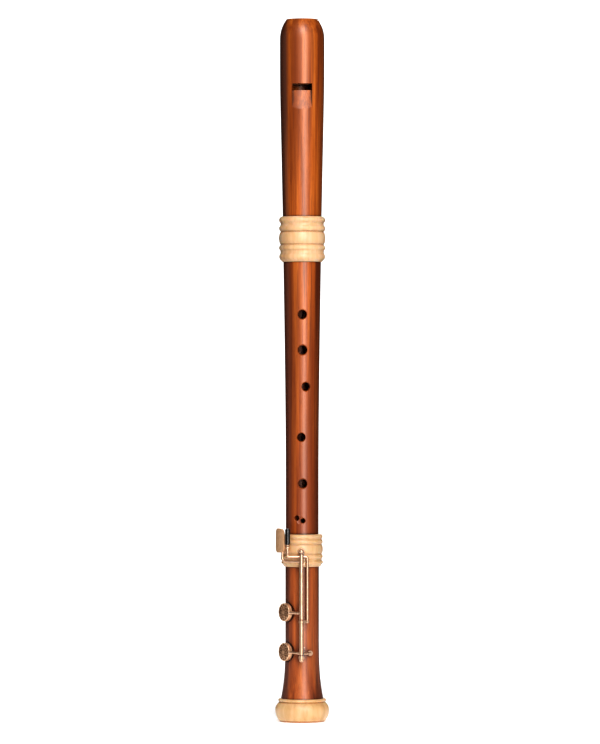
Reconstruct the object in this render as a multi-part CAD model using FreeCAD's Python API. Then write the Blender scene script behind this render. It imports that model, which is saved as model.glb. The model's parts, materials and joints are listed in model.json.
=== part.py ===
import FreeCAD, Part
import math
import os

# Tenor recorder with a double key on its foot joint. Millimetres.
# Z runs up the bore, the origin is on the bore's axis at the bell's flat end,
# the finger holes face -Y and the keys lie to the left of them, towards -X.

# Joint lengths, from one shoulder to the next
FOOT_LENGTH = 173.5
MIDDLE_LENGTH = 252.0
HEAD_LENGTH = 224.5

# Head joint
HEAD_R = 20.5                 # widest part, beside the window
HEAD_NECK_R = 18.0            # just above its ring
HEAD_BORE_R = 12.9
BEAK_SHOULDER_R = 30.0        # rounding of the head's shoulder up to its tip
BEAK_SHOULDER_LENGTH = 18.0
BEAK_TIP_THICKNESS = 14.0
BEAK_LENGTH = 58.0
WINDOW_WIDTH = 18.2
WINDOW_LENGTH = 5.9
WINDOW_BELOW_TIP = 60.4
WINDWAY_HEIGHT = 1.2
WINDWAY_ARCH_R = 30.0
LIP_THICKNESS = 0.5
RAMP_SLOPE = 0.354
HEAD_RING_LENGTH = 41.8
HEAD_RING_R = 21.5

# Middle joint
MIDDLE_TOP_R = 17.4
MIDDLE_WAIST_R = 15.15
MIDDLE_TOP_BORE_R = 11.9
MIDDLE_LOW_BORE_R = 8.5

# Foot joint
FOOT_R = 15.5
FOOT_BORE_R = 8.0
FOOT_RING_LENGTH = 30.0
FOOT_RING_R = 19.25
BELL_RING_LENGTH = 21.4
BELL_RING_R = 25.0
BELL_NECK_R = 19.6            # wood just above the bell ring

# Tenons and sockets
HEAD_SOCKET_R = 14.7
FOOT_SOCKET_R = 12.62
HEAD_TENON_LENGTH = 33.2
FOOT_TENON_LENGTH = 27.5
SOCKET_END_GAP = 2.0
TENON_COLLAR_GAP = 0.25       # bare wood inside its socket, radial
CORK_GAP = 0.07               # greased cork inside its socket, radial
CORK_THICKNESS = 1.1
SHOULDER_GAP = 0.2
RING_WALL_BACKING = 2.5       # wood between a socket and its ring
RING_FLANGE = 2.0             # ring over the wood's end grain
RING_SEAT_GAP = 0.02

# Finger holes: left or right of the centre line, share of the middle joint's
# length up from the foot joint, diameter
FINGER_HOLES = [
    (0.0, 0.806, 8.3),
    (0.2, 0.676, 8.7),
    (3.6, 0.5417, 7.9),
    (-1.0, 0.3563, 7.7),
    (0.4, 0.1865, 8.3),
    (-5.2, 0.060, 5.0),
    (0.65, 0.0504, 4.4),
]
THUMB_HOLE = (0.855, 7.8)
HOLE_EASE = 0.45              # rounding of a hole's rim
DISH_R = 12.0
DISH_DEPTH = 0.8

# Keys
ROD_R = 1.2
TUBE_GAP = 0.04
TUBE_R = 2.0
HINGE_X = -0.7
BAR_R = 1.2
BAR_TO_RING = 0.5
BAR_TO_TUBE = 0.35
UPPER_POST_DOWN = 15.3        # below the foot joint's top, like the other heights marked down
LOWER_POST_Z = 59.8
TUBE_SPLIT_Z = 95.3
TUBE_END_GAP = 0.3
POST_BALL_PROUD = 0.3         # post's ball past the hinge tube, radial
POST_STEM_R = 1.5
PRESS_DEG = 8.0
CUP_ANGLE = 62.0              # closed pads' direction, left of the front
UPPER_CUP_Z = 101.5
LOWER_CUP_Z = 64.8
CUP_R = 8.45
CUP_HEIGHT = 4.2
CUP_WALL = 0.8
PAD_PROUD = 0.3
PAD_THICKNESS = 2.4
PAD_SEAT_GAP = 0.1
SEAT_D = 13.0                 # pad seat's distance from the bore's axis
SEAT_RIM = 0.7
TONE_HOLE_R = 4.6
POCKET_GAP = 0.75
PAD_FLOOR_GAP = 0.05          # between a pad's back and its cup
TOUCH_ANGLE = 57.0
TOUCH_ABOVE_RING = 5.75
TOUCH_WIDTH = 13.5
TOUCH_LENGTH = 22.4
TOUCH_LOW_DOWN = 16.7
TOUCH_THICKNESS = 1.6
TOUCH_ARM_DOWN = 24.6
CROSS_DOWN = 20.3
LEVER_X = 4.8
LINK_BELOW_SPLIT = 1.9
ROLLER_X = -13.4
ROLLER_R = 2.4
ROLLER_LOW_DOWN = 9.1
ROLLER_LENGTH = 14.2
AXLE_R = 0.8
STOP_ANGLE = 25.0
BUMPER_GAP = 0.2
SPRING_R = 0.25

# Heights that follow from those
foot_top = FOOT_LENGTH
middle_low = foot_top + SHOULDER_GAP
head_low = foot_top + MIDDLE_LENGTH
middle_top = head_low - SHOULDER_GAP
tip = head_low + HEAD_LENGTH
window_top = tip - WINDOW_BELOW_TIP
window_low = window_top - WINDOW_LENGTH
head_ring_top = head_low + HEAD_RING_LENGTH
foot_ring_low = foot_top - FOOT_RING_LENGTH
head_core_r = HEAD_SOCKET_R + RING_WALL_BACKING
foot_core_r = FOOT_SOCKET_R + RING_WALL_BACKING - 0.1
bell_core_r = BELL_NECK_R - 2.6
hinge_y = -(FOOT_RING_R + BAR_TO_RING + 2 * BAR_R + BAR_TO_TUBE + TUBE_R)
bar_y = hinge_y + TUBE_R + BAR_TO_TUBE + BAR_R
upper_post_z = foot_top - UPPER_POST_DOWN
touch_low_z = foot_top - TOUCH_LOW_DOWN
touch_arm_z = foot_top - TOUCH_ARM_DOWN
cross_z = foot_top - CROSS_DOWN
roller_low_z = foot_top - ROLLER_LOW_DOWN
link_z = TUBE_SPLIT_Z - LINK_BELOW_SPLIT
post_ball_r = TUBE_R + POST_BALL_PROUD
touch_d = FOOT_RING_R + TOUCH_ABOVE_RING

UP = FreeCAD.Vector(0, 0, 1)


def vec(x, y, z):
    return FreeCAD.Vector(x, y, z)


def towards(degrees_left, distance, z):
    """A point at a height, at an angle left of the front, from the bore's axis."""
    a = math.radians(degrees_left)
    return vec(-math.sin(a) * distance, -math.cos(a) * distance, z)


def direction(degrees_left):
    return towards(degrees_left, 1.0, 0.0)


def save(name, shape):
    shape = shape.removeSplitter()
    if len(shape.Solids) != 1:
        raise RuntimeError(name + " is not one solid")
    shape.Solids[0].exportStep("parts/" + name + ".step")


def outline(start, steps):
    """Closed wire in the X-Z plane, from a start point along steps.

    A step is a point, an arc's middle and end, or a list of points to curve through.
    """
    edges = []
    first = vec(start[0], 0, start[1])
    here = first
    for step in steps:
        if isinstance(step, list):
            points = [here] + [vec(r, 0, z) for r, z in step]
            curve = Part.BSplineCurve()
            curve.interpolate(points)
            edges.append(curve.toShape())
            here = points[-1]
        elif isinstance(step[0], tuple):
            middle = vec(step[0][0], 0, step[0][1])
            end = vec(step[1][0], 0, step[1][1])
            edges.append(Part.Arc(here, middle, end).toShape())
            here = end
        else:
            end = vec(step[0], 0, step[1])
            if (end - here).Length > 1e-6:
                edges.append(Part.makeLine(here, end))
            here = end
    edges.append(Part.makeLine(here, first))
    return Part.Wire(edges)


def turned(start, steps):
    face = Part.Face(outline(start, steps))
    return face.revolve(vec(0, 0, 0), UP, 360)


def aimed(shape, point, heading):
    """Moves a shape made around +Z at the origin to a point, aimed along a heading."""
    shape = shape.copy()
    shape.Placement = FreeCAD.Placement(point, FreeCAD.Rotation(UP, heading))
    return shape


def rod(radius, start, end):
    along = end - start
    return Part.makeCylinder(radius, along.Length, start, along)


def trimmed(shape, *tools):
    """Cuts the tools away and keeps the main piece."""
    for tool in tools:
        shape = shape.cut(tool)
    return max(shape.Solids, key=lambda solid: solid.Volume)


def corner(before, at, after, radius):
    """Start, middle and end of the arc that rounds a corner."""
    back = (before - at).normalize()
    on = (after - at).normalize()
    half = math.acos(max(-1.0, min(1.0, back.dot(on)))) / 2
    reach = radius / math.tan(half)
    bisector = (back + on).normalize()
    middle = at + bisector * (radius / math.sin(half) - radius)
    return at + back * reach, middle, at + on * reach


def rounded_outline(points, radii):
    """Closed wire through corner points, each rounded by its own radius."""
    arcs = []
    for i, at in enumerate(points):
        after = points[(i + 1) % len(points)]
        arcs.append(corner(points[i - 1], at, after, radii[i]))
    edges = []
    for i, (start, middle, end) in enumerate(arcs):
        edges.append(Part.Arc(start, middle, end).toShape())
        edges.append(Part.makeLine(end, arcs[(i + 1) % len(arcs)][0]))
    return Part.Wire(edges)


def bent_bar(points, radius, bend):
    edges = []
    here = points[0]
    for i in range(1, len(points) - 1):
        start, middle, end = corner(points[i - 1], points[i], points[i + 1], bend)
        edges.append(Part.makeLine(here, start))
        edges.append(Part.Arc(start, middle, end).toShape())
        here = end
    edges.append(Part.makeLine(here, points[-1]))
    path = Part.Wire(edges)
    heading = points[1] - points[0]
    section = Part.Wire(Part.makeCircle(radius, points[0], heading))
    return path.makePipeShell([section], True, False)


def turned_arm(start, end, radii):
    """A turned arm whose radii are spread evenly from its start to its end."""
    length = (end - start).Length
    step = length / (len(radii) - 1)
    curve = [(r, step * i) for i, r in enumerate(radii)]
    shape = turned((0, 0), [curve[0], curve[1:], (0, length)])
    return aimed(shape, start, end - start)


def moulding(z, bands):
    """Outline steps for stacked bands, each a height, an edge radius and a mid radius."""
    steps = []
    for height, edge_r, mid_r in bands:
        steps.append((edge_r, z))
        steps.append(((mid_r, z + height / 2), (edge_r, z + height)))
        z = z + height
    return steps


def hinged(shape):
    """Turns a key piece drawn closed out to its open rest position."""
    shape = shape.copy()
    shape.rotate(vec(HINGE_X, hinge_y, 0), UP, PRESS_DEG)
    return shape


# ---------------------------------------------------------------- head joint

shoulder_z = tip - BEAK_SHOULDER_LENGTH
tip_r = HEAD_R - BEAK_SHOULDER_R + math.sqrt(BEAK_SHOULDER_R ** 2 - BEAK_SHOULDER_LENGTH ** 2)
half_rise = BEAK_SHOULDER_LENGTH / 2
half_r = HEAD_R - BEAK_SHOULDER_R + math.sqrt(BEAK_SHOULDER_R ** 2 - half_rise ** 2)
socket_top = head_low + HEAD_TENON_LENGTH + SOCKET_END_GAP
swell = HEAD_R - HEAD_NECK_R
bulge = shoulder_z - head_ring_top

head = turned(
    (HEAD_SOCKET_R, head_low + RING_FLANGE),
    [
        (head_core_r, head_low + RING_FLANGE),
        (head_core_r, head_ring_top),
        (HEAD_NECK_R, head_ring_top),
        [
            (HEAD_NECK_R + 0.28 * swell, head_ring_top + 0.22 * bulge),
            (HEAD_NECK_R + 0.67 * swell, head_ring_top + 0.50 * bulge),
            (HEAD_NECK_R + 0.95 * swell, head_ring_top + 0.73 * bulge),
            (HEAD_R, head_ring_top + 0.88 * bulge),
            (HEAD_R, shoulder_z),
        ],
        ((half_r, shoulder_z + half_rise), (tip_r, tip)),
        (HEAD_BORE_R, tip),
        (HEAD_BORE_R, socket_top),
        (HEAD_SOCKET_R, socket_top),
    ],
)


def arch_wire(z, width, crown_y, arch_r, base_y):
    """Slot outline at a height: an arched front at crown_y, straight sides back to base_y."""
    half = width / 2
    sag = arch_r - math.sqrt(arch_r ** 2 - half ** 2)
    left = vec(-half, crown_y + sag, z)
    right = vec(half, crown_y + sag, z)
    low_left = vec(-half, base_y, z)
    low_right = vec(half, base_y, z)
    arch = Part.Arc(left, vec(0, crown_y, z), right).toShape()
    corners = [right, low_right, low_left, left]
    sides = [Part.makeLine(a, b) for a, b in zip(corners, corners[1:])]
    return Part.Wire([arch] + sides)


exit_floor_y = -(HEAD_BORE_R + 0.4)
exit_roof_y = exit_floor_y - WINDWAY_HEIGHT
entry_floor_y = -(tip_r - 3.9)
entry_roof_y = entry_floor_y - 1.4 * WINDWAY_HEIGHT
entry_width = WINDOW_WIDTH - 1.8
entry_arch_r = 0.6 * WINDWAY_ARCH_R
slot_base_y = -5.0

groove = Part.makeLoft(
    [
        arch_wire(window_top, WINDOW_WIDTH, exit_roof_y, WINDWAY_ARCH_R, slot_base_y),
        arch_wire(tip, entry_width, entry_roof_y, entry_arch_r, slot_base_y),
    ],
    True,
    True,
)
floor_gap = 0.02
platform = Part.makeLoft(
    [
        arch_wire(window_top, WINDOW_WIDTH - 2 * floor_gap, exit_floor_y, WINDWAY_ARCH_R, slot_base_y),
        arch_wire(tip, entry_width - 2 * floor_gap, entry_floor_y, entry_arch_r, slot_base_y),
    ],
    True,
    True,
)
block_round = Part.makeCylinder(HEAD_BORE_R - floor_gap, tip - window_top, vec(0, 0, window_top))
block = block_round.fuse(platform)

window = Part.makeBox(WINDOW_WIDTH, 30, WINDOW_LENGTH, vec(-WINDOW_WIDTH / 2, slot_base_y - 30, window_low))
lip_y = exit_floor_y - LIP_THICKNESS
ramp_run = 26.0
ramp_face = Part.Face(arch_wire(window_low, WINDOW_WIDTH, lip_y, WINDWAY_ARCH_R, slot_base_y))
outer_face = Part.Face(arch_wire(window_low, WINDOW_WIDTH, -40.0, 200.0, slot_base_y))
ramp_front = outer_face.cut(ramp_face)
ramp = ramp_front.extrude(vec(0, -RAMP_SLOPE * ramp_run, -ramp_run))
undercut_face = Part.Face(arch_wire(window_low, WINDOW_WIDTH, exit_floor_y, WINDWAY_ARCH_R, slot_base_y))
undercut = undercut_face.extrude(vec(0, 4.0, -16.0))

beak_end_y = BEAK_TIP_THICKNESS - tip_r
beak_path = [
    vec(0, HEAD_R + 0.5, tip - BEAK_LENGTH),
    vec(0, beak_end_y + 5.0, tip - 0.62 * BEAK_LENGTH),
    vec(0, beak_end_y, tip + 1.0),
]
beak_wire = Part.Wire(
    [
        Part.Arc(beak_path[0], beak_path[1], beak_path[2]).toShape(),
        Part.makeLine(beak_path[2], vec(0, 60, tip + 1.0)),
        Part.makeLine(vec(0, 60, tip + 1.0), vec(0, 60, tip - BEAK_LENGTH)),
        Part.makeLine(vec(0, 60, tip - BEAK_LENGTH), beak_path[0]),
    ]
)
beak_cut = Part.Face(beak_wire).extrude(vec(80, 0, 0))
beak_cut.translate(vec(-40, 0, 0))

head = head.cut(groove)
head = head.cut(window)
head = head.cut(ramp)
head = head.cut(undercut)
head = head.cut(beak_cut)
block = block.cut(beak_cut)

ring_r = HEAD_RING_R
head_ring = turned(
    (HEAD_SOCKET_R, head_low),
    [(ring_r - 3.2, head_low)]
    + moulding(
        head_low + 2.3,
        [
            (5.0, ring_r - 1.10, ring_r - 0.25),
            (3.4, ring_r - 1.15, ring_r - 1.45),
            (4.4, ring_r - 1.05, ring_r - 0.10),
            (1.6, ring_r - 1.10, ring_r - 1.50),
            (10.3, ring_r - 1.00, ring_r),
            (1.5, ring_r - 1.10, ring_r - 1.60),
            (4.8, ring_r - 1.05, ring_r - 0.15),
            (3.1, ring_r - 1.15, ring_r - 1.60),
            (4.6, ring_r - 1.15, ring_r - 0.10),
        ],
    )
    + [
        (ring_r - 2.0, head_ring_top),
        (head_core_r + RING_SEAT_GAP, head_ring_top),
        (head_core_r + RING_SEAT_GAP, head_low + RING_FLANGE),
        (HEAD_SOCKET_R, head_low + RING_FLANGE),
    ],
)

# -------------------------------------------------------------- middle joint

head_collar_r = HEAD_SOCKET_R - TENON_COLLAR_GAP
head_cork_r = HEAD_SOCKET_R - CORK_GAP
head_cork_low = middle_top + 4.2
head_cork_top = middle_top + 0.78 * HEAD_TENON_LENGTH
head_tenon_top = middle_top + HEAD_TENON_LENGTH
foot_collar_r = FOOT_SOCKET_R - TENON_COLLAR_GAP
foot_cork_r = FOOT_SOCKET_R - CORK_GAP
foot_cork_top = middle_low - 5.5
foot_cork_low = middle_low - 0.85 * FOOT_TENON_LENGTH
foot_tenon_low = middle_low - FOOT_TENON_LENGTH
body_span = middle_top - middle_low
flare = MIDDLE_TOP_R - MIDDLE_WAIST_R


def middle_radius(share):
    """Outside radius of the middle joint, at a share of its length up from the foot."""
    if share < 0.25:
        return MIDDLE_WAIST_R
    return MIDDLE_WAIST_R + flare * ((share - 0.25) / 0.75) ** 1.45


shares = [0.25, 0.40, 0.55, 0.70, 0.85, 1.0]
middle = turned(
    (MIDDLE_LOW_BORE_R, foot_tenon_low),
    [
        (foot_collar_r - 0.6, foot_tenon_low),
        (foot_collar_r, foot_tenon_low + 0.8),
        (foot_collar_r, foot_cork_low),
        (foot_cork_r - CORK_THICKNESS, foot_cork_low),
        (foot_cork_r - CORK_THICKNESS, foot_cork_top),
        (foot_collar_r, foot_cork_top),
        (foot_collar_r, middle_low),
        (MIDDLE_WAIST_R, middle_low),
        (MIDDLE_WAIST_R, middle_low + 0.25 * body_span),
        [(middle_radius(s), middle_low + s * body_span) for s in shares[1:]],
        (head_collar_r, middle_top),
        (head_collar_r, head_cork_low),
        (head_cork_r - CORK_THICKNESS, head_cork_low),
        (head_cork_r - CORK_THICKNESS, head_cork_top),
        (head_collar_r, head_cork_top),
        (head_collar_r, head_tenon_top - 0.8),
        (head_collar_r - 0.6, head_tenon_top),
        (MIDDLE_TOP_BORE_R, head_tenon_top),
    ],
)


def drill(solid, surface_r, x, z, diameter):
    """A finger hole drilled towards the bore's axis, with its rim eased."""
    out = vec(x, -math.sqrt(surface_r ** 2 - x ** 2), 0).normalize()
    radius = diameter / 2
    hole = Part.makeCylinder(radius, surface_r + 6, out * 4 + UP * z, out)
    depth = surface_r - radius ** 2 / (2 * surface_r) - 2 * HOLE_EASE
    ease = Part.makeCone(radius - HOLE_EASE, radius + 6, 6 + HOLE_EASE, out * depth + UP * z, out)
    return solid.cut(hole).cut(ease)


def hole_height(share):
    return foot_top + share * MIDDLE_LENGTH


left_hole, right_hole = FINGER_HOLES[-2:]
dish_x = (left_hole[0] + right_hole[0]) / 2
dish_z = hole_height((left_hole[1] + right_hole[1]) / 2)
dish_out = vec(dish_x, -math.sqrt(MIDDLE_WAIST_R ** 2 - dish_x ** 2), 0).normalize()
dish = Part.makeSphere(DISH_R, dish_out * (MIDDLE_WAIST_R + DISH_R - DISH_DEPTH) + UP * dish_z)
middle = middle.cut(dish)
for x, share, diameter in FINGER_HOLES:
    middle = drill(middle, middle_radius(share), x, hole_height(share), diameter)
thumb_share, thumb_d = THUMB_HOLE
middle.rotate(vec(0, 0, 0), UP, 180)
middle = drill(middle, middle_radius(thumb_share), 0.0, hole_height(thumb_share), thumb_d)
middle.rotate(vec(0, 0, 0), UP, 180)


def cork_sleeve(outer_r, low, top):
    sleeve = Part.makeCylinder(outer_r, top - low, vec(0, 0, low))
    return sleeve.cut(Part.makeCylinder(outer_r - CORK_THICKNESS, top - low, vec(0, 0, low)))


upper_cork = cork_sleeve(head_cork_r, head_cork_low, head_cork_top)
lower_cork = cork_sleeve(foot_cork_r, foot_cork_low, foot_cork_top)

# ---------------------------------------------------------------- foot joint

foot_socket_low = foot_top - FOOT_TENON_LENGTH - SOCKET_END_GAP
bell_drop = BELL_NECK_R - FOOT_R
foot = turned(
    (FOOT_BORE_R, 0),
    [
        (bell_core_r, 0),
        (bell_core_r, BELL_RING_LENGTH),
        (BELL_NECK_R, BELL_RING_LENGTH),
        [
            (FOOT_R + 0.75 * bell_drop, BELL_RING_LENGTH + 5.5),
            (FOOT_R + 0.44 * bell_drop, BELL_RING_LENGTH + 14.0),
            (FOOT_R + 0.20 * bell_drop, BELL_RING_LENGTH + 25.0),
            (FOOT_R + 0.06 * bell_drop, BELL_RING_LENGTH + 38.0),
            (FOOT_R, BELL_RING_LENGTH + 54.0),
        ],
        (FOOT_R, foot_ring_low),
        (foot_core_r, foot_ring_low),
        (foot_core_r, foot_top - RING_FLANGE),
        (FOOT_SOCKET_R, foot_top - RING_FLANGE),
        (FOOT_SOCKET_R, foot_socket_low),
        (FOOT_BORE_R, foot_socket_low),
    ],
)

pocket_r = CUP_R + POCKET_GAP
seat_out_r = TONE_HOLE_R + 2.2
out_dir = direction(CUP_ANGLE)
for cup_z in (UPPER_CUP_Z, LOWER_CUP_Z):
    pocket_low = out_dir * (SEAT_D - SEAT_RIM) + UP * cup_z
    pocket = Part.makeCylinder(pocket_r, 15, pocket_low, out_dir)
    pocket = pocket.cut(Part.makeCylinder(seat_out_r, SEAT_RIM, pocket_low, out_dir))
    foot = foot.cut(pocket)
    foot = foot.cut(Part.makeCylinder(TONE_HOLE_R, 20, out_dir * 2 + UP * cup_z, out_dir))

fr = FOOT_RING_R
foot_ring = turned(
    (foot_core_r + RING_SEAT_GAP, foot_ring_low),
    [(FOOT_R + 1.1, foot_ring_low)]
    + moulding(
        foot_ring_low + 2.4,
        [
            (3.0, fr - 0.90, fr),
            (2.2, fr - 0.95, fr - 1.25),
            (3.4, fr - 0.85, fr - 0.25),
            (1.4, fr - 0.90, fr - 1.20),
            (7.5, fr - 0.80, fr - 0.10),
            (1.4, fr - 0.85, fr - 1.20),
            (3.3, fr - 0.80, fr - 0.25),
            (1.6, fr - 0.90, fr - 1.25),
            (3.2, fr - 0.90, fr - 0.35),
        ],
    )
    + [
        (fr - 1.7, foot_top),
        (FOOT_SOCKET_R, foot_top),
        (FOOT_SOCKET_R, foot_top - RING_FLANGE),
        (foot_core_r + RING_SEAT_GAP, foot_top - RING_FLANGE),
    ],
)

br = BELL_RING_R
bell_ring = turned(
    (bell_core_r + RING_SEAT_GAP, 0),
    [
        (br - 4.6, 0),
        [
            (br - 3.0, 1.8),
            (br - 0.65, 6.4),
            (br - 0.05, 9.4),
            (br, 11.2),
            (br - 0.25, 13.0),
            (br - 1.0, 14.8),
            (br - 2.2, 16.5),
            (br - 3.5, 17.9),
        ],
        (br - 3.8, 18.4),
        ((br - 2.9, 19.7), (br - 3.5, 21.0)),
        (br - 4.0, BELL_RING_LENGTH),
        (bell_core_r + RING_SEAT_GAP, BELL_RING_LENGTH),
    ],
)

# ------------------------------------------------------- posts and hinge rod

upper_tube_top = upper_post_z - post_ball_r - TUBE_END_GAP
lower_post_top = LOWER_POST_Z + 2.7
lower_tube_low = lower_post_top + TUBE_END_GAP
rod_low = LOWER_POST_Z - 2.2
rod_top = upper_post_z + 1.5
hinge_rod = Part.makeCylinder(ROD_R, rod_top - rod_low, vec(HINGE_X, hinge_y, rod_low))
rod_hole = Part.makeCylinder(ROD_R + 0.01, rod_top - rod_low, vec(HINGE_X, hinge_y, rod_low))


def post_stem(z, root_r, surface_r):
    """A pillar screwed into the joint: its stem and its foot flange."""
    root = vec(HINGE_X, -root_r, z)
    stem = rod(POST_STEM_R, root, vec(HINGE_X, hinge_y, z))
    flange_root = vec(HINGE_X, -surface_r + 0.6, z)
    flange = rod(POST_STEM_R + 1.1, flange_root, vec(HINGE_X, -surface_r - 0.5, z))
    return stem.fuse(flange)


upper_post = Part.makeSphere(post_ball_r, vec(HINGE_X, hinge_y, upper_post_z))
upper_post = upper_post.fuse(post_stem(upper_post_z, foot_core_r + 0.6, FOOT_RING_R))
lower_head = turned(
    (0, -3.9),
    [
        ((TUBE_R - 0.7, -3.5), (TUBE_R, -1.6)),
        (TUBE_R + 0.15, -1.2),
        (TUBE_R + 0.15, 2.4),
        (TUBE_R - 0.15, 2.7),
        (0, 2.7),
    ],
)
lower_head.translate(vec(HINGE_X, hinge_y, LOWER_POST_Z))
lower_post = lower_head.fuse(post_stem(LOWER_POST_Z, FOOT_R - 3.5, FOOT_R + 0.1))
foot_ring = foot_ring.cut(upper_post)
foot = foot.cut(lower_post)
upper_post = upper_post.cut(rod_hole)
lower_post = lower_post.cut(rod_hole)


def hinge_tube(low, top):
    outside = turned(
        (ROD_R + TUBE_GAP, low),
        [
            (TUBE_R - 0.25, low),
            (TUBE_R, low + 0.25),
            (TUBE_R, top - 0.25),
            (TUBE_R - 0.25, top),
            (ROD_R + TUBE_GAP, top),
        ],
    )
    outside.translate(vec(HINGE_X, hinge_y, 0))
    return outside


upper_tube = hinge_tube(TUBE_SPLIT_Z + 0.1, upper_tube_top)
lower_tube = hinge_tube(lower_tube_low, TUBE_SPLIT_Z - 0.1)
tube_core = Part.makeCylinder(TUBE_R, foot_top, vec(HINGE_X, hinge_y, 0))

# ------------------------------------------------------------- cups and pads

cup_low = SEAT_D + PAD_SEAT_GAP + PAD_PROUD
cup_top = cup_low + CUP_HEIGHT
pad_low = SEAT_D + PAD_SEAT_GAP
pad_r = CUP_R - CUP_WALL - 0.03
cup_floor = PAD_THICKNESS - PAD_PROUD + PAD_FLOOR_GAP


def pad_cup(z):
    """A pad cup drawn closed: turned, with fluting cut around its face."""
    shape = turned(
        (CUP_R - CUP_WALL, 0),
        [
            (CUP_R, 0),
            (CUP_R, CUP_HEIGHT - 1.3),
            ((CUP_R - 0.2, CUP_HEIGHT - 0.75), (CUP_R - 0.8, CUP_HEIGHT - 0.55)),
            (CUP_R - 1.1, CUP_HEIGHT - 0.8),
            ((CUP_R * 0.55, CUP_HEIGHT - 0.22), (2.0, CUP_HEIGHT - 0.1)),
            (1.8, CUP_HEIGHT - 0.35),
            ((1.7, CUP_HEIGHT - 0.1), (1.3, CUP_HEIGHT)),
            (0, CUP_HEIGHT),
            (0, cup_floor),
            (CUP_R - CUP_WALL, cup_floor),
        ],
    )
    flute_count = 18
    for i in range(flute_count):
        turn = math.radians(360.0 * i / flute_count)
        inner = vec(2.6 * math.cos(turn), 2.6 * math.sin(turn), CUP_HEIGHT + 0.10)
        outer = vec(7.1 * math.cos(turn), 7.1 * math.sin(turn), CUP_HEIGHT - 0.50)
        shape = shape.cut(rod(0.38, inner, outer))
    return aimed(shape, out_dir * cup_low + UP * z, out_dir)


def pad(z):
    shape = turned(
        (0, 0),
        [
            (pad_r - 0.4, 0),
            ((pad_r - 0.1, 0.12), (pad_r, 0.45)),
            (pad_r, PAD_THICKNESS),
            (0, PAD_THICKNESS),
        ],
    )
    return aimed(shape, out_dir * pad_low + UP * z, out_dir)


across = vec(math.cos(math.radians(CUP_ANGLE)), -math.sin(math.radians(CUP_ANGLE)), 0)


def cup_arm(z, arm_z, radii, cup):
    start = vec(HINGE_X, hinge_y, arm_z)
    end = out_dir * (cup_top - 1.5) + across * (CUP_R - 0.6) + UP * z
    arm = turned_arm(start, end, radii)
    return trimmed(arm, tube_core, cup)


upper_cup = pad_cup(UPPER_CUP_Z)
lower_cup = pad_cup(LOWER_CUP_Z)
beaded = [1.5, 1.5, 1.15, 1.45, 1.1, 1.45, 1.1, 1.45, 1.1, 1.3, 1.9]
waisted = [1.6, 1.5, 1.3, 1.1, 1.05, 1.1, 1.3, 1.9]
upper_cup_arm = cup_arm(UPPER_CUP_Z, UPPER_CUP_Z - 0.3, beaded, upper_cup)
lower_cup_arm = cup_arm(LOWER_CUP_Z, LOWER_CUP_Z - 0.5, waisted, lower_cup)

# ------------------------------------------------------- C sharp key's touch

touch_dir = direction(TOUCH_ANGLE)
touch_across = vec(math.cos(math.radians(TOUCH_ANGLE)), -math.sin(math.radians(TOUCH_ANGLE)), 0)
touch_top_z = touch_low_z + TOUCH_LENGTH
touch_bow = 26.0


def touch_point(across_by, z):
    return touch_dir * (touch_d - 6) + touch_across * across_by + UP * z


half_low = TOUCH_WIDTH / 2
half_top = half_low - 0.7
touch_corners = [
    touch_point(-half_low, touch_low_z),
    touch_point(half_low, touch_low_z),
    touch_point(half_top, touch_top_z),
    touch_point(-half_top, touch_top_z),
]
touch_wire = rounded_outline(touch_corners, [4.6, 4.6, 4.2, 4.2])
touch_block = Part.Face(touch_wire).extrude(touch_dir * 12)
bow_centre = touch_dir * (touch_d + TOUCH_THICKNESS / 2 - touch_bow)
bow_base = bow_centre + UP * (touch_low_z - 5)
bow = Part.makeCylinder(touch_bow, TOUCH_LENGTH + 10, bow_base)
bow = bow.cut(Part.makeCylinder(touch_bow - TOUCH_THICKNESS, TOUCH_LENGTH + 10, bow_base))
touch_plate = touch_block.common(bow)
touch_root = touch_dir * (touch_d - TOUCH_THICKNESS) + touch_across * 3.6
touch_arm = bent_bar(
    [
        vec(HINGE_X, hinge_y, touch_arm_z),
        vec(touch_root.x - 0.9, touch_root.y - 0.6, touch_arm_z),
        touch_root + UP * (touch_low_z + 5.5),
    ],
    BAR_R,
    3.2,
)
touch_tip = Part.makeSphere(BAR_R, touch_root + UP * (touch_low_z + 5.5))
touch_arm = touch_arm.fuse(touch_tip)
touch_arm = trimmed(touch_arm, tube_core, touch_plate)

# ----------------------------------------------- C key's lever, link, roller

roller_y = bar_y
lever_top = roller_low_z - 4.0
lever_bar = bent_bar(
    [
        vec(ROLLER_X, bar_y, lever_top),
        vec(ROLLER_X, bar_y, cross_z),
        vec(LEVER_X, bar_y, cross_z),
        vec(LEVER_X, bar_y, link_z + 1.2),
    ],
    BAR_R,
    1.7,
)
link_low = link_z - 1.2
link_height = 2.4
link_end = vec(LEVER_X, bar_y, link_low)
link_start = vec(HINGE_X, hinge_y, link_low)
link_along = (link_end - link_start).normalize()
link_side = vec(-link_along.y, link_along.x, 0) * 1.3
link_corners = [
    link_start + link_side,
    link_end + link_side,
    link_end - link_side,
    link_start - link_side,
    link_start + link_side,
]
link_web = Part.Face(Part.makePolygon(link_corners)).extrude(UP * link_height)
link_bar = Part.makeCylinder(TUBE_R + 0.55, link_height, link_start)
link_bar = link_bar.fuse(Part.makeCylinder(BAR_R + 0.25, link_height, link_end))
link_bar = link_bar.fuse(link_web).cut(tube_core)
lever_bar = lever_bar.cut(Part.makeCylinder(BAR_R + 0.25, link_height, link_end))

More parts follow.
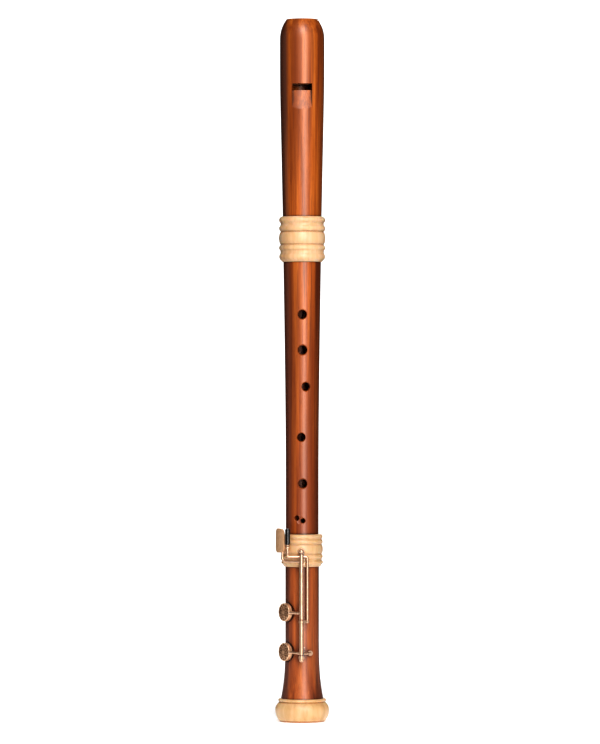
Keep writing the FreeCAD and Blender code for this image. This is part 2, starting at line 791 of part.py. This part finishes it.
carrier = turned(
    (0, 0),
    [
        (BAR_R, 0),
        ((2.0, 1.2), (1.5, 2.3)),
        (1.2, 2.6),
        ((2.1, 3.1), (1.9, 3.7)),
        (0, 3.7),
    ],
)
carrier.translate(vec(ROLLER_X, roller_y, lever_top))
axle_low = lever_top + 1.2
roller_top = roller_low_z + ROLLER_LENGTH
roller_axle = Part.makeCylinder(AXLE_R, roller_top + 0.15 - axle_low, vec(ROLLER_X, roller_y, axle_low))
axle_head = Part.makeCylinder(1.5, 0.5, vec(ROLLER_X, roller_y, roller_top + 0.15))
axle_head = axle_head.makeFillet(0.2, [axle_head.Edges[0]])
carrier = carrier.cut(roller_axle)
roller_axle = roller_axle.fuse(axle_head)
roller = turned(
    (AXLE_R + 0.05, 0),
    [
        (ROLLER_R - 0.7, 0),
        ((ROLLER_R - 0.2, 0.2), (ROLLER_R, 0.7)),
        (ROLLER_R, ROLLER_LENGTH - 0.7),
        ((ROLLER_R - 0.2, ROLLER_LENGTH - 0.2), (ROLLER_R - 0.7, ROLLER_LENGTH)),
        (AXLE_R + 0.05, ROLLER_LENGTH),
    ],
)
roller.translate(vec(ROLLER_X, roller_y, roller_low_z))

# ------------------------------------------------- stops, bumpers and springs

stop_z = LOWER_CUP_Z - 0.8
stop_dir = direction(-STOP_ANGLE)
stop_disc_d = FOOT_R + BUMPER_GAP + 1.35
stop_disc = Part.makeCylinder(2.5, 1.0, stop_dir * stop_disc_d + UP * stop_z, stop_dir)
stop_end = stop_dir * (stop_disc_d + 0.6) + UP * stop_z
tail_radii = [1.5, 1.3, 1.05, 1.35, 1.05, 1.35, 1.0, 1.0, 1.4]
stop_tail = turned_arm(vec(HINGE_X, hinge_y, stop_z), stop_end, tail_radii)
stop_tail = stop_tail.fuse(stop_disc)
lower_bumper = Part.makeCylinder(2.3, 1.05, stop_dir * (stop_disc_d - 1.05) + UP * stop_z, stop_dir)
stop_tail = trimmed(stop_tail, tube_core, lower_bumper, hinged(lower_cup_arm))

peg_z = touch_arm_z - 2.2
peg_dir = direction(-4.0)
peg_disc_d = FOOT_RING_R + BUMPER_GAP + 0.7
peg_end = peg_dir * peg_disc_d + UP * peg_z
stop_peg = rod(1.1, vec(peg_end.x, hinge_y, peg_z), peg_end)
upper_bumper = Part.makeCylinder(1.1, 0.7, peg_dir * (peg_disc_d - 0.7) + UP * peg_z, peg_dir)
stop_peg = trimmed(stop_peg, tube_core, upper_bumper)


def spring_hook(z):
    hook = rod(0.55, vec(HINGE_X, hinge_y, z), vec(HINGE_X + TUBE_R + 1.3, hinge_y, z))
    return trimmed(hook, tube_core)


def needle(z_post, z_free):
    start = vec(HINGE_X + 0.92 * TUBE_R, hinge_y - 0.55 * TUBE_R, z_post)
    end = vec(HINGE_X + TUBE_R + 0.75, hinge_y - 0.74 * TUBE_R, z_free)
    return rod(SPRING_R, start, end)


upper_hook_z = upper_post_z - 7.0
lower_hook_z = LOWER_POST_Z + 10.0
upper_hook = spring_hook(upper_hook_z)
lower_hook = spring_hook(lower_hook_z)
upper_spring = needle(upper_post_z, upper_hook_z - 0.8)
lower_spring = needle(LOWER_POST_Z + 1.2, lower_hook_z + 0.8)
upper_post = upper_post.cut(upper_spring)
lower_post = lower_post.cut(lower_spring)

# -------------------------------------------------------------------- output

os.makedirs("parts", exist_ok=True)
nodes = {
    "head_body": head,
    "windway_block": block,
    "head_ring": head_ring,
    "middle_body": middle,
    "upper_tenon_cork": upper_cork,
    "lower_tenon_cork": lower_cork,
    "foot_body": foot,
    "foot_socket_ring": foot_ring,
    "bell_ring": bell_ring,
    "upper_post": upper_post,
    "lower_post": lower_post,
    "hinge_rod": hinge_rod,
    "upper_needle_spring": upper_spring,
    "lower_needle_spring": lower_spring,
    "c_sharp_hinge_tube": upper_tube,
    "c_sharp_touch_arm": touch_arm,
    "c_sharp_touch_plate": touch_plate,
    "c_sharp_cup_arm": hinged(upper_cup_arm),
    "c_sharp_cup": hinged(upper_cup),
    "c_sharp_pad": hinged(pad(UPPER_CUP_Z)),
    "c_sharp_stop_peg": stop_peg,
    "c_sharp_bumper": upper_bumper,
    "c_sharp_spring_hook": upper_hook,
    "c_hinge_tube": lower_tube,
    "c_lever_bar": lever_bar,
    "c_link_bar": link_bar,
    "c_roller_carrier": carrier,
    "c_roller_axle": roller_axle,
    "c_touch_roller": roller,
    "c_cup_arm": hinged(lower_cup_arm),
    "c_cup": hinged(lower_cup),
    "c_pad": hinged(pad(LOWER_CUP_Z)),
    "c_stop_tail": stop_tail,
    "c_bumper": lower_bumper,
    "c_spring_hook": lower_hook,
}
for name, shape in nodes.items():
    save(name, shape)
print("saved", len(nodes), "pieces")
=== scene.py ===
import json
import math

import bpy
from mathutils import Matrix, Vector


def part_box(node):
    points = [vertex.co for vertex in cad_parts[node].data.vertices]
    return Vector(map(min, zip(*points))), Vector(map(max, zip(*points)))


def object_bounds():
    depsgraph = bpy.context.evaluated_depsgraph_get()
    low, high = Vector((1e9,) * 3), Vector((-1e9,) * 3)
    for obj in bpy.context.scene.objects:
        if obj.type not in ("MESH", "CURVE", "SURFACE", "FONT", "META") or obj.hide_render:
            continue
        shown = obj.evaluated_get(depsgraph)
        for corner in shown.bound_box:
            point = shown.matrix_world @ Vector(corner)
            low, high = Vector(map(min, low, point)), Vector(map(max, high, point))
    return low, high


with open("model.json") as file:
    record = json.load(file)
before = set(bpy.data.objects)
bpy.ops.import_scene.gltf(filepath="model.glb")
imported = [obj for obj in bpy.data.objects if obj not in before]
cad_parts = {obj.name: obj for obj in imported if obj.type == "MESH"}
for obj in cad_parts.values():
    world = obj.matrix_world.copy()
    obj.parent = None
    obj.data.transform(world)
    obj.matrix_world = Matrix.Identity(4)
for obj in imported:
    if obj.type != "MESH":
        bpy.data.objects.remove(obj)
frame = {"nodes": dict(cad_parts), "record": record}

cad_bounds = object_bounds()
nodes = frame["nodes"]
scene = bpy.context.scene
scene.view_settings.view_transform = "Standard"
scene.view_settings.look = "High Contrast"


# ------------------------------------------------------------ node helpers

class Tree:
    """A material's node tree, with short calls for the nodes used here."""

    def __init__(self, name):
        self.material = bpy.data.materials.new(name)
        self.material.use_nodes = True
        self.nodes = self.material.node_tree.nodes
        self.links = self.material.node_tree.links
        self.shader = self.nodes["Principled BSDF"]
        coords = self.nodes.new("ShaderNodeTexCoord")
        self.place = coords.outputs["Object"]

    def link(self, source, target):
        self.links.new(source, target)

    def put(self, socket, value):
        if isinstance(value, bpy.types.NodeSocket):
            self.link(value, socket)
        elif value is not None:
            socket.default_value = value

    def mapped(self, scale, turn=(0, 0, 0), shift=(0, 0, 0)):
        """The object's own place, in metres, stretched for a noise of this many cells per metre."""
        node = self.nodes.new("ShaderNodeMapping")
        self.link(self.place, node.inputs["Vector"])
        node.inputs["Scale"].default_value = scale
        node.inputs["Rotation"].default_value = turn
        node.inputs["Location"].default_value = shift
        return node.outputs["Vector"]

    def noise(self, vector, scale=1.0, detail=4.0, rough=0.5, distortion=0.0):
        node = self.nodes.new("ShaderNodeTexNoise")
        self.link(vector, node.inputs["Vector"])
        node.inputs["Scale"].default_value = scale
        node.inputs["Detail"].default_value = detail
        node.inputs["Roughness"].default_value = rough
        node.inputs["Distortion"].default_value = distortion
        return node.outputs["Fac"]

    def math(self, operation, a, b=None, clamp=False):
        node = self.nodes.new("ShaderNodeMath")
        node.operation = operation
        node.use_clamp = clamp
        self.put(node.inputs[0], a)
        if b is not None:
            self.put(node.inputs[1], b)
        return node.outputs[0]

    def ramp(self, source, stops):
        node = self.nodes.new("ShaderNodeValToRGB")
        points = node.color_ramp.elements
        while len(points) < len(stops):
            points.new(0.5)
        for point, (at, colour) in zip(points, stops):
            point.position = at
            point.color = (*colour, 1.0) if len(colour) == 3 else colour
        self.link(source, node.inputs["Fac"])
        return node.outputs["Color"]

    def level(self, source, low, high, to_low=0.0, to_high=1.0):
        node = self.nodes.new("ShaderNodeMapRange")
        node.interpolation_type = "SMOOTHSTEP"
        self.link(source, node.inputs["Value"])
        node.inputs["From Min"].default_value = low
        node.inputs["From Max"].default_value = high
        node.inputs["To Min"].default_value = to_low
        node.inputs["To Max"].default_value = to_high
        return node.outputs["Result"]

    def mix(self, factor, a, b, blend="MIX"):
        node = self.nodes.new("ShaderNodeMix")
        node.data_type = "RGBA"
        node.blend_type = blend
        self.put(node.inputs["Factor"], factor)
        for socket, value in ((node.inputs[6], a), (node.inputs[7], b)):
            if isinstance(value, tuple):
                value = (*value, 1.0)
            self.put(socket, value)
        return node.outputs[2]

    def bump(self, height, strength, distance):
        node = self.nodes.new("ShaderNodeBump")
        self.link(height, node.inputs["Height"])
        node.inputs["Strength"].default_value = strength
        node.inputs["Distance"].default_value = distance
        return node.outputs["Normal"]

    def along(self, origin, heading):
        """Distance from a point along a heading."""
        shifted = self.nodes.new("ShaderNodeVectorMath")
        shifted.operation = "SUBTRACT"
        self.link(self.place, shifted.inputs[0])
        shifted.inputs[1].default_value = origin
        dot = self.nodes.new("ShaderNodeVectorMath")
        dot.operation = "DOT_PRODUCT"
        self.link(shifted.outputs["Vector"], dot.inputs[0])
        dot.inputs[1].default_value = heading
        return dot.outputs["Value"]

    def closeness(self, distance):
        """How enclosed a spot is, from 0 in the open to 1 deep in a groove or corner."""
        node = self.nodes.new("ShaderNodeAmbientOcclusion")
        node.samples = 8
        node.inputs["Distance"].default_value = distance
        return self.math("SUBTRACT", 1.0, node.outputs["AO"], clamp=True)

    def set(self, **inputs):
        names = {
            "base": "Base Color", "rough": "Roughness", "metal": "Metallic", "normal": "Normal",
            "coat": "Coat Weight", "coat_rough": "Coat Roughness",
            "specular": "Specular IOR Level", "subsurface": "Subsurface Weight",
            "sheen": "Sheen Weight",
        }
        for key, value in inputs.items():
            if isinstance(value, tuple):
                value = (*value, 1.0)
            self.put(self.shader.inputs[names[key]], value)


# --------------------------------------------------------------- materials

def turned_wood(name, dark, mid, light, streak, lean, seed, flank_shades, near):
    """Dense reddish hardwood: long streaks, fine pores, a hand-rubbed oil finish.

    Each flank shade is painted shade: a dark stripe down the left or right of the bore, darker flanks standing in
    for light falling off round the sides. Each has its side, how far out it starts and is full, and how dark it is.
    Near is how far off a piece still paints shade onto the wood beside it.
    """
    t = Tree(name)
    turn = (0.0, lean, 0.0)
    bands = t.noise(t.mapped((70, 70, 1.6), turn, (seed * 2, 4, seed)), 1.0, 2.0, 0.5, 0.4)
    broad = t.noise(t.mapped((130, 130, 3.0), turn, (seed, seed * 0.7, seed)), 1.0, 3.0, 0.55, 0.35)
    figure = t.noise(t.mapped((300, 300, 4.5), turn, (seed + 3, 1, seed)), 1.0, 5.0, 0.6, 0.25)
    fibre = t.noise(t.mapped((1300, 1300, 16), turn, (seed, 5, 2)), 1.0, 3.0, 0.6)
    pores = t.noise(t.mapped((2600, 2600, 130), turn, (1, seed, 7)), 1.0, 2.0, 0.5)
    patch = t.noise(t.mapped((26, 26, 6), (0, 0, 0), (seed, 2, 9)), 1.0, 2.0, 0.5)
    tone = t.math("ADD", t.math("MULTIPLY", broad, 0.55), t.math("MULTIPLY", figure, 0.45))
    colour = t.ramp(tone, [(0.36, dark), (0.47, mid), (0.58, light), (0.70, mid)])
    line = t.level(figure, 0.55, 0.66)
    colour = t.mix(t.math("MULTIPLY", line, 0.65), colour, streak)
    fine = t.level(fibre, 0.35, 0.68, 0.70, 1.15)
    shade = t.mix(1.0, colour, t.ramp(fine, [(0.0, (0, 0, 0)), (1.0, (1, 1, 1))]), "MULTIPLY")
    colour = t.mix(0.55, colour, shade)
    blot = t.level(patch, 0.35, 0.65, 0.0, 0.22)
    colour = t.mix(blot, colour, dark)
    colour = t.mix(t.level(bands, 0.47, 0.62, 0.0, 0.75), colour, dark)
    pit = t.level(pores, 0.62, 0.72)
    colour = t.mix(t.math("MULTIPLY", pit, 0.45), colour, tuple(c * 0.35 for c in dark))
    # painted shade down the flanks: stripes toward half the dark tone darken the left and right of the wood,
    # standing in for light falling off round the sides
    wander = t.math("MULTIPLY", t.math("SUBTRACT", t.math("ADD", bands, figure), 1.0), 0.014)
    for side, start, end, amount in flank_shades:
        across = t.math("ADD", t.along((0, 0, 0), Vector((side, 0, 0))), wander)
        flank_shade_colour = tuple(c * 0.5 for c in dark)
        colour = t.mix(t.level(across, start, end, 0.0, amount), colour, flank_shade_colour)
    # painted shade: the wood darkens toward a third of its dark tone wherever a key or another piece is near,
    # standing in for the shadows they cast
    painted_near_shade = t.level(t.closeness(near), 0.05, 0.45, 0.0, 0.85)
    colour = t.mix(painted_near_shade, colour, tuple(c * 0.30 for c in dark))
    rough = t.level(figure, 0.3, 0.7, 0.52, 0.62)
    height = t.math("SUBTRACT", t.math("MULTIPLY", fibre, 0.35), t.math("MULTIPLY", pit, 0.65))
    normal = t.bump(height, 0.18, 0.0001)
    t.set(
        base=colour, rough=rough, normal=normal,
        coat=1.0, coat_rough=0.38, specular=0.25, metal=0.20,
    )
    return t.material


GROOVE_PAINTED_SHADE = (0.38, 0.15, 0.045)
RING_SCATTER = (0.0016, 0.0010, 0.0005)


def cream_wood(name, pale, mid, deep, seed):
    """Pale turned wood of the rings: faint lengthwise grain, tool lines, painted shade in the grooves."""
    t = Tree(name)
    grain = t.noise(t.mapped((180, 180, 14), (0, 0.03, 0), (seed, 4, seed)), 1.0, 5.0, 0.6, 0.4)
    fine = t.noise(t.mapped((1500, 1500, 60), (0, 0, 0), (2, seed, 1)), 1.0, 3.0, 0.6)
    turning = t.noise(t.mapped((20, 20, 3200), (0, 0, 0), (seed, 0, 0)), 1.0, 2.0, 0.5)
    colour = t.ramp(grain, [(0.22, deep), (0.50, mid), (0.78, pale)])
    specks = t.level(fine, 0.58, 0.74, 0.0, 0.3)
    colour = t.mix(specks, colour, tuple(c * 0.7 for c in deep))
    # painted shade: the ring wood turns brown wherever the turned beads close in, as shade in the grooves
    groove = t.level(t.closeness(0.0018), 0.06, 0.32, 0.0, 0.92)
    colour = t.mix(groove, colour, GROOVE_PAINTED_SHADE)
    height = t.math("ADD", t.math("MULTIPLY", turning, 0.5), t.math("MULTIPLY", fine, 0.5))
    normal = t.bump(height, 0.16, 0.00008)
    rough = t.level(grain, 0.3, 0.7, 0.34, 0.46)
    t.set(
        base=colour, rough=rough, normal=normal,
        coat=0.4, coat_rough=0.42, specular=0.4, sheen=0.15, subsurface=0.6,
    )
    t.shader.inputs["Subsurface Radius"].default_value = RING_SCATTER
    t.shader.inputs["Subsurface Scale"].default_value = 1.0
    t.shader.inputs["Sheen Roughness"].default_value = 0.45
    t.shader.inputs["Sheen Tint"].default_value = (1.0, 0.72, 0.42, 1.0)
    return t.material


PETALS = 6.0                  # waves of each family of spirals round the cup's face
SPIRAL_PITCH = 700.0          # turn of a spiral, radians per metre outwards
BOSS_RADIUS = 0.0020
FACE_RADIUS = 0.0076
ENGRAVED_FROM = 0.0008        # outward from the cup's middle
SOFT_EDGE = 0.0003


def keywork(name, base, deep, rough_low, rough_high, metal, seed=0.0, rosette=None):
    """Warm key metal with handling marks, and painted shade in its corners.

    A rosette gives the centre and the outward heading of a cup's engraved face.
    """
    t = Tree(name)
    cloud = t.noise(t.mapped((240, 240, 240), (0, 0, 0), (seed, 1, 2)), 1.0, 5.0, 0.6)
    scratch = t.noise(t.mapped((1500, 1500, 700), (0.2, 0.3, 0), (seed, 3, 1)), 1.0, 2.0, 0.6)
    # painted shade: the metal darkens toward a third of its deep tone in corners and where parts meet
    corner_shade = t.level(t.closeness(0.0009), 0.10, 0.60, 0.0, 0.85)
    colour = t.mix(t.level(cloud, 0.35, 0.68, 0.0, 0.5), base, deep)
    height = scratch
    strength = 0.008
    if rosette is not None:
        centre, heading = rosette
        across = Vector((-heading.y, heading.x, 0))
        out = t.along(centre, heading)
        u = t.along(centre, across)
        v = t.along(centre, Vector((0, 0, 1)))
        radius = t.math("SQRT", t.math("ADD", t.math("MULTIPLY", u, u), t.math("MULTIPLY", v, v)))
        turn = t.math("MULTIPLY", t.math("ARCTAN2", v, u), PETALS)
        swirl = t.math("MULTIPLY", radius, SPIRAL_PITCH)
        one = t.math("ABSOLUTE", t.math("SINE", t.math("ADD", turn, swirl)))
        two = t.math("ABSOLUTE", t.math("SINE", t.math("SUBTRACT", turn, swirl)))
        cell = t.level(t.math("MINIMUM", one, two), 0.18, 0.55)
        outer = t.level(out, ENGRAVED_FROM, 0.0012)
        inside = t.level(radius, FACE_RADIUS - SOFT_EDGE, FACE_RADIUS, 1.0, 0.0)
        face = t.math("MULTIPLY", outer, inside)
        boss = t.level(radius, BOSS_RADIUS, BOSS_RADIUS + SOFT_EDGE)
        engraved = t.math("MULTIPLY", face, boss)
        cut = t.math("MULTIPLY", engraved, cell)
        # painted dark reflection: the cup's whole face is darkened toward the deep tone
        colour = t.mix(t.math("MULTIPLY", face, 0.62), colour, deep)
        colour = t.mix(t.math("MULTIPLY", cut, 0.85), colour, tuple(c * 0.30 for c in deep))
        height = t.math("SUBTRACT", t.math("MULTIPLY", scratch, 0.1), cut)
        strength = 0.5
    # painted shade in the corners
    colour = t.mix(corner_shade, colour, tuple(c * 0.35 for c in deep))
    smear = t.level(cloud, 0.3, 0.7, rough_low, rough_high)
    rough = t.math("ADD", smear, t.math("MULTIPLY", scratch, 0.06))
    t.set(base=colour, metal=metal, rough=rough, normal=t.bump(height, strength, 0.00006))
    return t.material


def blued_steel(name):
    """Tempered spring and rod steel, cloudy grey."""
    t = Tree(name)
    cloud = t.noise(t.mapped((500, 500, 120)), 1.0, 4.0, 0.6)
    colour = t.ramp(cloud, [(0.3, (0.16, 0.16, 0.18)), (0.7, (0.42, 0.41, 0.42))])
    rough = t.level(cloud, 0.3, 0.7, 0.22, 0.38)
    t.set(base=colour, metal=1.0, rough=rough, normal=t.bump(cloud, 0.05, 0.00003))
    return t.material


def black_gloss(name):
    """Polished black roller, with fine dust scratches."""
    t = Tree(name)
    dust = t.noise(t.mapped((2200, 2200, 500)), 1.0, 3.0, 0.6)
    cloud = t.noise(t.mapped((300, 300, 160)), 1.0, 3.0, 0.5)
    colour = t.ramp(cloud, [(0.3, (0.006, 0.006, 0.007)), (0.7, (0.02, 0.018, 0.018))])
    rough = t.level(dust, 0.45, 0.75, 0.12, 0.30)
    t.set(base=colour, rough=rough, normal=t.bump(dust, 0.04, 0.00003), coat=0.5, coat_rough=0.08)
    return t.material


def cork(name):
    """Sheet cork with its dark specks."""
    t = Tree(name)
    grains = t.nodes.new("ShaderNodeTexVoronoi")
    t.link(t.mapped((900, 900, 700)), grains.inputs["Vector"])
    grains.inputs["Scale"].default_value = 1.0
    cells = grains.outputs["Distance"]
    cloud = t.noise(t.mapped((300, 300, 200)), 1.0, 5.0, 0.65)
    colour = t.ramp(
        cloud, [(0.30, (0.20, 0.10, 0.045)), (0.52, (0.46, 0.28, 0.14)), (0.75, (0.62, 0.42, 0.23))]
    )
    spots = t.level(cells, 0.05, 0.30, 0.55, 0.0)
    colour = t.mix(spots, colour, (0.16, 0.08, 0.035))
    normal = t.bump(t.math("ADD", cells, cloud), 0.45, 0.00025)
    t.set(base=colour, rough=0.82, normal=normal)
    return t.material


def pad_skin(name):
    """Pale goldbeater's skin over the pads."""
    t = Tree(name)
    fine = t.noise(t.mapped((1400, 1400, 1400)), 1.0, 5.0, 0.6)
    cloud = t.noise(t.mapped((180, 180, 180)), 1.0, 3.0, 0.5)
    colour = t.ramp(cloud, [(0.3, (0.62, 0.50, 0.34)), (0.7, (0.80, 0.70, 0.53))])
    rough = t.level(fine, 0.3, 0.7, 0.55, 0.72)
    t.set(base=colour, rough=rough, normal=t.bump(fine, 0.25, 0.00012), sheen=0.15)
    return t.material


def cedar(name):
    """Bare cedar of the windway block: straight early and late wood, open end grain."""
    t = Tree(name)
    rings = t.noise(t.mapped((520, 90, 6), (0, 0, 0.35), (3, 1, 0)), 1.0, 3.0, 0.5, 0.2)
    fibre = t.noise(t.mapped((3000, 3000, 60)), 1.0, 3.0, 0.6)
    colour = t.ramp(
        rings, [(0.35, (0.36, 0.150, 0.07)), (0.5, (0.48, 0.22, 0.11)), (0.66, (0.54, 0.27, 0.14))]
    )
    colour = t.mix(t.level(fibre, 0.55, 0.75, 0.0, 0.4), colour, (0.25, 0.09, 0.04))
    t.set(base=colour, rough=0.68, normal=t.bump(fibre, 0.25, 0.0001))
    return t.material


finishes = {
    "head_wood": turned_wood(
        "head_wood",
        dark=(0.22, 0.048, 0.008), mid=(0.50, 0.126, 0.014), light=(0.69, 0.212, 0.032),
        streak=(0.20, 0.042, 0.008), lean=0.05, seed=3.0,
        flank_shades=[(-1, 0.0095, 0.0170, 0.95), (1, 0.013, 0.020, 0.60)], near=0.003,
    ),
    "body_wood": turned_wood(
        "body_wood",
        dark=(0.20, 0.040, 0.008), mid=(0.50, 0.124, 0.018), light=(0.68, 0.208, 0.034),
        streak=(0.18, 0.036, 0.008), lean=0.015, seed=6.0,
        flank_shades=[(-1, 0.0085, 0.0155, 0.70), (1, 0.0080, 0.0155, 0.85)], near=0.003,
    ),
    "cream_ring": cream_wood(
        "cream_ring", pale=(0.80, 0.575, 0.38), mid=(0.74, 0.495, 0.295), deep=(0.60, 0.35, 0.165), seed=1.0,
    ),
    "cedar": cedar("cedar"),
    "cork": cork("cork"),
    "brass": keywork(
        "brass", base=(0.72, 0.485, 0.345), deep=(0.48, 0.285, 0.17), rough_low=0.32, rough_high=0.41, metal=0.86,
    ),
    "steel": blued_steel("steel"),
    "black_roller": black_gloss("black_roller"),
    "pad_leather": pad_skin("pad_leather"),
}
slots = {entry["node"]: entry["material_slot"] for entry in frame["record"]["subparts"]}
for name, obj in nodes.items():
    obj.data.materials.clear()
    obj.data.materials.append(finishes[slots[name]])


def centre_of(node):
    lowest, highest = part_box(node)
    return (Vector(lowest) + Vector(highest)) / 2


def dress(node, material):
    nodes[node].data.materials.clear()
    nodes[node].data.materials.append(material)


CUP_HEIGHT = 0.0042

# each cup's face looks the way its arm leads past the bore, seen in the two cups' own boxes
for node in ("c_sharp_cup", "c_cup"):
    lowest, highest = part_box(node)
    across_x = highest[0] - lowest[0]
    across_y = highest[1] - lowest[1]
    reach = highest[2] - lowest[2]
    rim = CUP_HEIGHT
    # the box of a short cylinder: reach * |cos| + rim * |sin| across x, the other way about across y
    turned = math.atan2(across_y * reach - rim * across_x, across_x * reach - rim * across_y)
    heading = Vector((-math.sin(turned), -math.cos(turned), 0))
    # lit copy of the key brass: lighter and less metallic so the cups read brighter, painted light standing in for
    # the light their walls catch
    engraved_brass = keywork(
        node, base=(0.88, 0.60, 0.39), deep=(0.40, 0.21, 0.12), rough_low=0.34, rough_high=0.46, metal=0.75,
        seed=5.0, rosette=(centre_of(node), heading),
    )
    dress(node, engraved_brass)
# lit copy of the key brass for the touch plate: lighter and less metallic, painted light standing in for the light
# the plate reflects
dress(
    "c_sharp_touch_plate",
    keywork(
        "touch_plate", base=(0.82, 0.53, 0.32), deep=(0.60, 0.36, 0.21), rough_low=0.43, rough_high=0.56,
        metal=0.62, seed=3.0,
    ),
)
dress(
    "foot_body",
    turned_wood(
        "foot_wood",
        dark=(0.20, 0.043, 0.010), mid=(0.46, 0.116, 0.022), light=(0.63, 0.196, 0.043),
        streak=(0.17, 0.036, 0.009), lean=0.03, seed=5.0,
        flank_shades=[(-1, 0.0095, 0.0165, 0.75), (1, 0.0090, 0.0150, 0.90)], near=0.010,
    ),
)
# shaded copies of the ring wood: the foot and bell rings take darker copies of the cream wood, painted shade
# standing in for the lower rings lying in other light
dress(
    "foot_socket_ring",
    cream_wood("cream_foot_shaded", pale=(0.70, 0.49, 0.31), mid=(0.62, 0.405, 0.225), deep=(0.48, 0.27, 0.12), seed=3.0),
)
dress(
    "bell_ring",
    cream_wood("cream_bell_shaded", pale=(0.74, 0.52, 0.31), mid=(0.66, 0.43, 0.225), deep=(0.53, 0.305, 0.135), seed=6.0),
)

# ------------------------------------------------------- floor, lights, eye

FLOOR_RADIUS = 0.55

low, high = cad_bounds[0], cad_bounds[1]
middle = (Vector(low) + Vector(high)) / 2

bpy.ops.mesh.primitive_circle_add(vertices=96, radius=FLOOR_RADIUS, fill_type="NGON", location=(0, 0, 0))
floor = bpy.context.object
floor.name = "floor"
paint = Tree("floor")
dapple = paint.noise(paint.mapped((3, 3, 3)), 1.0, 3.0, 0.5)
paint.set(base=paint.ramp(dapple, [(0.3, (0.93, 0.93, 0.93)), (0.7, (0.95, 0.95, 0.95))]), rough=0.9)
paint.shader.inputs["Emission Color"].default_value = (1, 1, 1, 1)
paint.shader.inputs["Emission Strength"].default_value = 0.3
floor.data.materials.append(paint.material)

world = bpy.data.worlds.new("studio")
scene.world = world
world.use_nodes = True
wn, wl = world.node_tree.nodes, world.node_tree.links
wn.clear()
out = wn.new("ShaderNodeOutputWorld")
pick = wn.new("ShaderNodeMixShader")
seen = wn.new("ShaderNodeBackground")
lit = wn.new("ShaderNodeBackground")
ray = wn.new("ShaderNodeLightPath")
seen.inputs["Color"].default_value = (1, 1, 1, 1)
seen.inputs["Strength"].default_value = 1.0
lit.inputs["Color"].default_value = (0.95, 0.97, 1, 1)
lit.inputs["Strength"].default_value = 0.045
wl.new(ray.outputs["Is Camera Ray"], pick.inputs["Fac"])
wl.new(lit.outputs[0], pick.inputs[1])
wl.new(seen.outputs[0], pick.inputs[2])
wl.new(pick.outputs[0], out.inputs["Surface"])


def softbox(name, place, aim, width, height, watts, tint=(1, 1, 1)):
    data = bpy.data.lights.new(name, "AREA")
    data.shape = "RECTANGLE"
    data.size = width
    data.size_y = height
    data.energy = watts
    data.color = tint
    lamp = bpy.data.objects.new(name, data)
    scene.collection.objects.link(lamp)
    lamp.location = place
    lamp.rotation_euler = (Vector(aim) - Vector(place)).to_track_quat("-Z", "Y").to_euler()
    lamp.visible_camera = False
    return lamp


centre = (0, 0, middle.z)
softbox("key", (0.36, -1.48, 0.45), centre, 0.40, 1.3, 15.5, (1, 0.985, 0.97))
softbox("high_key", (0.10, -1.35, 1.45), centre, 0.7, 0.6, 16, (1, 0.99, 0.98))
softbox("side", (-1.45, 0.25, 0.6), centre, 0.5, 1.2, 0.9, (1, 0.98, 0.96))
softbox("back", (0.1, 2.2, 1.6), centre, 0.9, 1.2, 24)

eye = bpy.data.cameras.new("eye")
camera = bpy.data.objects.new("eye", eye)
scene.collection.objects.link(camera)
distance = 4.0
view_height = 0.6891
eye_left = -0.002
eye_height = 0.3235
eye.sensor_width = 36.0
eye.lens = 36.0 * distance / view_height
eye.clip_end = 100
camera.location = (eye_left, -distance, eye_height)
camera.rotation_euler = (math.radians(90), 0, 0)
scene.camera = camera
